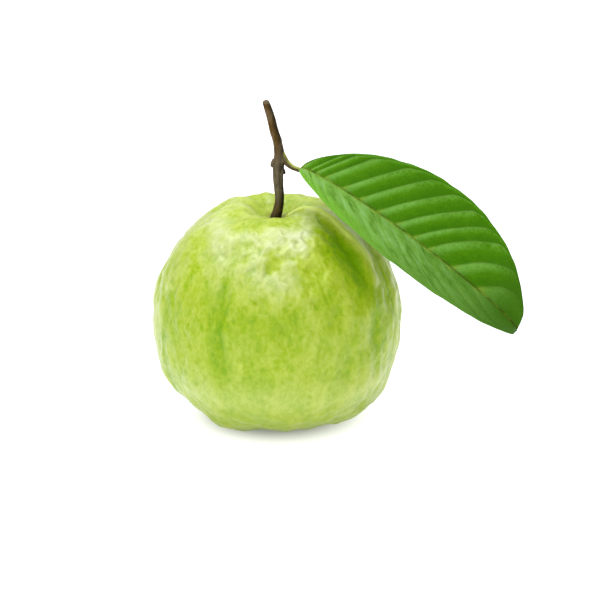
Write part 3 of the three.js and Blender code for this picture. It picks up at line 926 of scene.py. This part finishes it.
def leaf_material():
    material, wire, shader = new_material("guava_leaf")
    place = wire.node("ShaderNodeTexCoord").output("Object")
    panel, under = wire.kept("panel"), wire.kept("under")
    side, out, run = wire.kept("side"), wire.kept("out"), wire.kept("run")
    from_rib = abs(side)
    mottle = noise(wire, place, MOTTLE_RIPPLES, detail=3.0)
    fine = noise(wire, place, FINE_RIPPLES, detail=4.0, roughness=0.65, offset=(0.2, 0.4, 0.6))
    part = wire.math("FRACT", panel + mottle * 0.025)
    to_vein = wire.math("MINIMUM", part, 1.0 - part)
    vein = to_vein.bell(0.035)
    rib = out.bell(RIB_HALF_WIDTH)
    cells = wire.node("ShaderNodeTexVoronoi", {
        "Vector": place, "Scale": NET_CELLS,
    }, feature="DISTANCE_TO_EDGE")
    net = (cells.output("Distance") * 6.0).clamped()
    netted = 1.0 - net

    # The upper half: each panel is painted lighter where it rises from its vein, most of all near the
    # midrib and the stalk, and darker towards the margin: painted light and shade of its quilting.
    lit = part.ramp(1.0, 0.1) * 0.8 + mottle * 0.4 + fine * 0.7 + netted * 0.3
    lit = (lit + run.ramp(0.4, 0.0) * 0.3 - from_rib.ramp(0.45, 1.0) * 0.4).clamped()
    green = lit.colour(LEAF_SHADE, LEAF_GREEN)
    beside = part.ramp(0.0, 0.05) * part.ramp(0.5, 0.08)
    inner = from_rib.ramp(0.95, 0.1) * 0.75 + mottle * 0.35 + fine * 0.6 + netted * 0.4
    inner = inner + run.ramp(0.35, 0.0) * 0.25 + 0.02
    green = (beside * inner).clamped().colour(green, LEAF_LIGHT)

    # The lower half, darker towards the tip: streaks along the veins of painted bluish sheen and of
    # painted shade, vivid at the edge near the stalk.
    low_green = run.ramp(0.05, 0.85).colour(LOWER_NEAR, LOWER_FAR)
    along_veins = wire.node("ShaderNodeCombineXYZ", {
        "X": panel * STREAKS_PER_PANEL, "Y": out * STREAKS_PER_MM,
    })
    streak = noise(wire, along_veins, 1.0, roughness=0.6)
    inward = from_rib.ramp(1.05, 0.5) * run.ramp(0.95, 0.4)
    painted_sheen = ((streak * 2.0 + fine * 0.6 + 0.15) * inward).clamped()
    low_green = painted_sheen.colour(low_green, LOWER_SHEEN)
    painted_shade_streaks = (streak * -2.6 - fine * 0.5 - 0.15).clamped(0.0, 0.75)
    low_green = painted_shade_streaks.colour(low_green, LOWER_SHADE)
    vivid = side.ramp(-0.4, -0.9) * run.ramp(0.55, 0.2)
    low_green = (vivid * 0.8).colour(low_green, LOWER_VIVID)

    # Both halves, then the veins with their yellow knees, the midrib, the dark tip and the margin.
    lower = side.ramp(0.02, -0.02)
    low = (lower * 0.9).colour(green, low_green)
    veined = (vein * (0.4 - lower * 0.2) * (mottle * 0.5 + 0.8)).clamped().colour(low, VEIN_PALE)
    knee = to_vein.bell(0.09) * out.bell(KNEE_REACH)
    veined = (knee * (0.8 - mottle * 0.4)).clamped().colour(veined, RIB_YELLOW)
    beside_rib = (out + 0.75).bell(0.4) * run.ramp(0.9, 0.6)
    veined = (beside_rib * (fine + 0.55)).clamped().colour(veined, RIB_YELLOW)
    tipped = (run.ramp(0.74, 0.93) * 0.8).colour(veined, LEAF_TIP)
    edged = (from_rib.ramp(0.985, 1.0) * 0.6).colour(tipped, LEAF_MARGIN)
    worn = (noise(wire, place, WORN_RIPPLES) * 1.2 + 0.2).clamped()
    ribbed = (rib * 0.8).colour(edged, worn.colour(RIB_OLIVE, RIB_YELLOW))
    pale = (vein * 0.5 + mottle * 0.2).clamped().colour(LEAF_UNDER, VEIN_PALE)
    feed(shader, {
        "Base Color": under.colour(ribbed, pale),
        "Roughness": 0.45 + under * 0.3 - vein * 0.06,
        "Normal": (net + mottle * 0.3).bump(0.35, 0.15 * MM),
        "Specular IOR Level": 0.06,
    })
    return material


blade = put_in_scene("guava_leaf_blade", blade_mesh())
blade.data.materials.append(leaf_material())

# The stalk and the midrib are one rod, and each side vein is a thin one.
STALK_STATIONS = [
    (1.6, -0.6, 105.8, 0.9),
    (2.5, -0.9, 103.4, 1.2),
    (3.7, -1.2, 101.3, 1.2),
    (5.5, -1.7, 99.8, 1.05),
    (7.5, -2.4, 99.0, 0.95),
]
STALK_RADIUS = 0.95
MIDRIB_TIP_RADIUS = 0.3
MIDRIB_END = 0.97
MIDRIB_STATIONS = 30
VEIN_RADIUS = 0.3
VEIN_TIP_RADIUS = 0.08
VEIN_ROOT = 0.02
VEIN_REACH = 0.92
VEIN_STATIONS = 24
VEIN_SETTLE = 8


def stalk_stations():
    stations = list(STALK_STATIONS)
    for along in np.linspace(0, MIDRIB_END, MIDRIB_STATIONS):
        radius = STALK_RADIUS + (MIDRIB_TIP_RADIUS - STALK_RADIUS) * along
        sunk = radius + MIDRIB_GROOVE * min(along / GROOVE_START, 1)
        stations.append(np.append(midrib(along) - midrib_frame(along)[0] * sunk, radius))
    return stations


def vein_line(start, side):
    """Rows of x, y, z and radius for one side vein, just under the blade; side is 1 or -1."""
    away = np.linspace(VEIN_ROOT, VEIN_REACH, VEIN_STATIONS)
    along = np.full(VEIN_STATIONS, 0.5)
    for _ in range(VEIN_SETTLE):
        loop = LOOP_BEND * np.clip(away - LOOP_START, 0, 1) ** 2
        slant = VEIN_SLANT * away * half_width(along, side)
        length = start + slant + (VEIN_CURL_GAIN * start - VEIN_CURL) * away ** 2 + loop
        if side < 0:
            length = length - LOWER_VEINS_EARLIER * (1 + VEIN_CURL_GAIN * away ** 2)
        along = np.interp(length, RUN_LENGTHS, RUN_SHARES)
    lift = quilting(along, away * side) - BLADE_THICKNESS / 2
    radius = VEIN_RADIUS + (VEIN_TIP_RADIUS - VEIN_RADIUS) * away
    return np.column_stack([blade_place(along, away * side, lift), radius])


# Yellow-green and reddish beneath where it leaves the twig, pale green along the blade.
STALK_GREEN = (0.34, 0.38, 0.06, 1)
STALK_RED = (0.06, 0.035, 0.006, 1)
RIB_GREEN = (0.28, 0.38, 0.12, 1)
STALK_TO_RIB = (10 * MM, 18 * MM)
THREAD_RIPPLES = 900


def stalk_material():
    material, wire, shader = new_material("guava_stalk")
    place = wire.node("ShaderNodeTexCoord").output("Object")
    across = place.axis("X")
    up = wire.node("ShaderNodeNewGeometry").output("Normal").axis("Z")
    fibre = noise(wire, place, THREAD_RIPPLES, detail=3.0)
    red = (up.ramp(0.8, 0.05) + fibre * 0.3).clamped()
    stalk = red.colour(STALK_GREEN, STALK_RED)
    feed(shader, {
        "Base Color": across.ramp(*STALK_TO_RIB).colour(stalk, RIB_GREEN),
        "Roughness": 0.5 + fibre * 0.08,
        "Specular IOR Level": 0.4,
    })
    return material


rib_skin = stalk_material()
stalk = grown("guava_leaf_stalk", RODS, rib_skin, {
    "Sides": 24, "Ridges": 0.03, "Ridge Scale": 900, "Knobs": 0.02,
}, line_mesh("stalk_line", [smooth_line(stalk_stations())]))
vein_lines = [vein_line(start, side) for start in VEIN_STARTS[2:-1] for side in (1, -1)]
veins = grown("guava_leaf_veins", RODS, rib_skin, {
    "Sides": 10, "Ridges": 0.0, "Ridge Scale": 900, "Knobs": 0.0,
}, line_mesh("vein_lines", vein_lines))
for piece in (blade, stalk, veins):
    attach(piece, "root")
    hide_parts("leaf")


# ---- Calyx -----------------------------------------------------------------------------------------
# What the flower left: five dry sepals folded in over the blossom end and pressed flat under the
# fruit's weight, with the withered stamens and the stub of the style in their middle.

# A sepal's outline, and the heights of its pressed middle, its arch, its tip, its curled edges and
# its root, in millimetres.
SEPALS = 5
SEPAL_ROOT = 8.2
SEPAL_LENGTH = 6.4
SEPAL_HALF_WIDTH = 4.7
SEPAL_TAPER = 0.25
SEPAL_ROUNDING = 1.5
SEPAL_TIP = 0.002
SEPAL_THICKNESS = 0.35
SEPAL_THINNING = 0.6
SEPAL_RIM_SHARPNESS = 8
SEPAL_LOW = 0.35
SEPAL_ARCH = 1.0
SEPAL_ARCH_LEAN = 1.4
SEPAL_TIP_RISE = 0.5
SEPAL_CURL = 0.35
SEPAL_ROOT_RISE = 1.2
SEPAL_ROOT_REACH = 0.1
SEPAL_STEPS = 24
SEPAL_STEPS_ACROSS = 20


def sepal_mesh():
    """One sepal lying along +X, its root outwards."""
    along, across = plate_grid(SEPAL_STEPS, SEPAL_STEPS_ACROSS)
    half = SEPAL_HALF_WIDTH * np.sqrt(np.clip(1 - along ** SEPAL_ROUNDING, SEPAL_TIP, 1))
    aside = across * half * (1 - SEPAL_TAPER * along)
    out = SEPAL_ROOT - SEPAL_LENGTH * along
    height = SEPAL_LOW + SEPAL_ARCH * np.sin(np.pi * along ** SEPAL_ARCH_LEAN)
    height = height + SEPAL_TIP_RISE * along + SEPAL_CURL * across ** 2 * along
    height = height + SEPAL_ROOT_RISE * np.exp(-(along / SEPAL_ROOT_REACH) ** 2)
    thin = SEPAL_THICKNESS / 2 * rim_share(across, SEPAL_RIM_SHARPNESS) * (1 - SEPAL_THINNING * along)
    skins = [np.stack([out, aside, height + side * thin], axis=-1) for side in (1, -1)]
    return plate_mesh("sepal", skins, plate_faces(along.shape)[:, ::-1])


def calyx_tree():
    """Copies of one sepal in a ring, crumpled by so many millimetres."""
    tree, given = geometry_tree("ring_of_sepals", ["Count", "Crumple", "Crumple Scale"])
    wire = Wire(tree)
    ring = wire.node("GeometryNodeMeshCircle", {"Vertices": given["Count"], "Radius": 0.0})
    number = wire.node("GeometryNodeInputIndex")
    turn = wire.node("ShaderNodeCombineXYZ", {"Z": number / given["Count"] * (2 * math.pi)})
    spin = wire.node("FunctionNodeEulerToRotation", {"Euler": turn})
    sepals = wire.node("GeometryNodeInstanceOnPoints", {
        "Points": ring, "Instance": given["Geometry"], "Rotation": spin,
    })
    real = wire.node("GeometryNodeRealizeInstances", {"Geometry": sepals})
    place = wire.node("GeometryNodeInputPosition")
    creases = noise(wire, place, given["Crumple Scale"], detail=3.0)
    stored = stored_number(real, "relief", creases)
    lift = wire.node("ShaderNodeCombineXYZ", {"Z": creases * given["Crumple"] * MM})
    resting = wire.vector("MAXIMUM", wire.vector("ADD", place, lift), BELOW_FLOOR)
    crumpled = wire.node("GeometryNodeSetPosition", {"Geometry": stored, "Position": resting})
    close_tree(tree, crumpled, given["Material"])
    return tree


# Dry and papery: nearly black in the creases, straw on their crests.
DRY_BROWN = (0.12, 0.07, 0.03, 1)
DRY_EDGE = (0.03, 0.017, 0.009, 1)
DRY_STRAW = (0.30, 0.20, 0.09, 1)
SPECK_RIPPLES = 900


def calyx_material():
    material, wire, shader = new_material("dry_calyx")
    place = wire.node("ShaderNodeTexCoord").output("Object")
    relief = wire.kept("relief")
    speck = noise(wire, place, SPECK_RIPPLES, detail=4.0, roughness=0.6)
    brown = (relief * 0.6 + speck * 0.4 + 0.45).clamped().colour(DRY_EDGE, DRY_BROWN)
    straw = (relief * 0.8 + speck * 0.5 - 0.1).clamped().colour(brown, DRY_STRAW)
    feed(shader, {
        "Base Color": straw,
        "Roughness": 0.85 + speck * 0.1,
        "Normal": speck.bump(0.5, 0.2 * MM),
        "Specular IOR Level": 0.2,
    })
    return material


# Stamens: the least and the most of the root's distance from the axis, of how far the thread bends
# inwards and by how much it swerves, and of the height of its tip.
STAMENS = 46
STAMEN_SEED = 7
STAMEN_ROOT = (2.6, 4.6)
STAMEN_ROOT_HEIGHT = 2.9
STAMEN_SWERVE = (-0.9, 0.9)
STAMEN_BEND = (0.8, 2.2)
STAMEN_TIP = (0.35, 1.1)
STAMEN_HOOK = 0.4
STYLE_STATIONS = [
    (0, 0, 4.4, 0.5),
    (0.1, 0, 3, 0.42),
    (0.4, 0.2, 1.6, 0.34),
    (0.9, 0.3, 0.7, 0.2),
]


def stamen_lines():
    """Withered stamens, bent over in the hollow inside the sepals, and the stub of the style."""
    order = np.random.default_rng(STAMEN_SEED)
    lines = []
    for _ in range(STAMENS):
        turn = order.uniform(0, 2 * math.pi)
        bend = turn + order.uniform(*STAMEN_SWERVE)
        root = order.uniform(*STAMEN_ROOT)
        reach = order.uniform(*STAMEN_BEND)
        tip = order.uniform(*STAMEN_TIP)
        foot = np.array((math.cos(turn) * root, math.sin(turn) * root, 0))
        way = np.array((math.cos(bend) * reach, math.sin(bend) * reach, 0))
        lines.append(smooth_line([
            np.append(foot + (0, 0, STAMEN_ROOT_HEIGHT), 0.13),
            np.append(foot - way * 0.25 + (0, 0, STAMEN_ROOT_HEIGHT * 0.62), 0.11),
            np.append(foot - way * 0.7 + (0, 0, tip + STAMEN_HOOK), 0.10),
            np.append(foot - way + (0, 0, tip), 0.14),
        ]))
    lines.append(smooth_line(STYLE_STATIONS))
    return lines


dry = calyx_material()
sepals = grown("guava_sepals", calyx_tree(), dry, {
    "Count": SEPALS, "Crumple": 0.45, "Crumple Scale": 420,
}, sepal_mesh())
stamens = grown("guava_stamens", RODS, dry, {
    "Sides": 6, "Ridges": 0.0, "Ridge Scale": 900, "Knobs": 0.03,
}, line_mesh("stamen_lines", stamen_lines()))
for piece in (sepals, stamens):
    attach(piece, "root")
    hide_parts("calyx")


# ---- Floor and light -------------------------------------------------------------------------------
# Not part of the guava: a wide sheet of white paper that glows, with a painted shadow in its glow
# round the fruit's foot, and four large soft lights with even white light from all round.

FLOOR_SIZE = 40.0
PAPER_GREY = (0.5, 0.5, 0.5, 1)
PAINTED_SHADOW_GLOW = (0.2, 0.2, 0.2, 1)
GLOW_CLEAR_OF_IT = (0.95, 0.95, 0.95, 1)
PAINTED_SHADOW_RADII = (17 * MM, 39 * MM)

# Each light's name, its place, what it is aimed at, its width and height in metres, and its watts.
LIGHTS = [
    ("overhead", (-0.11, 0.05, 0.85), (0, 0, 0.05), (0.8, 0.9), 8.1),
    ("left_fill", (-0.75, -0.5, 0.75), (0.02, -0.01, 0.07), (0.7, 0.7), 1.6),
    ("backdrop_glow", (0.1, 1.1, 0.8), (0, 0, 0.05), (2.6, 0.9), 6),
    ("front_fill", (-0.1, -1.05, 0.60), (0, 0, 0.04), (1.2, 0.7), 5.0),
]

SKY_WHITE = (1, 1, 1, 1)
SKY_STRENGTH = 0.28


def floor_mesh():
    half = FLOOR_SIZE / 2
    mesh = bpy.data.meshes.new("floor")
    corners = [(-half, -half, 0), (half, -half, 0), (half, half, 0), (-half, half, 0)]
    mesh.from_pydata(corners, [], [(0, 1, 2, 3)])
    return mesh


def floor_material():
    """Paper that glows, with a painted shadow where the fruit stands on it."""
    material, wire, shader = new_material("floor_paper")
    place = wire.node("ShaderNodeTexCoord").output("Object")
    away = place.length()
    feed(shader, {
        "Base Color": PAPER_GREY,
        "Roughness": 0.9,
        "Specular IOR Level": 0.0,
        "Emission Color": away.ramp(*PAINTED_SHADOW_RADII).colour(PAINTED_SHADOW_GLOW, GLOW_CLEAR_OF_IT),
        "Emission Strength": 1.0,
    })
    return material


floor = put_in_scene("floor", floor_mesh())
floor.data.materials.append(floor_material())


def soft_light(name, place, aim, size, power):
    data = bpy.data.lights.new(name, "AREA")
    data.shape = "RECTANGLE"
    data.size, data.size_y = size
    data.energy = power
    light = bpy.data.objects.new(name, data)
    light.location = place
    light.visible_camera = False
    light.rotation_euler = (Vector(aim) - Vector(place)).to_track_quat("-Z", "Y").to_euler()
    bpy.context.scene.collection.objects.link(light)


for light in LIGHTS:
    soft_light(*light)

world = bpy.data.worlds.new("studio")
world.use_nodes = True
feed(world.node_tree.nodes["Background"], {"Color": SKY_WHITE, "Strength": SKY_STRENGTH})
bpy.context.scene.world = world
bpy.context.scene.view_settings.view_transform = "Standard"
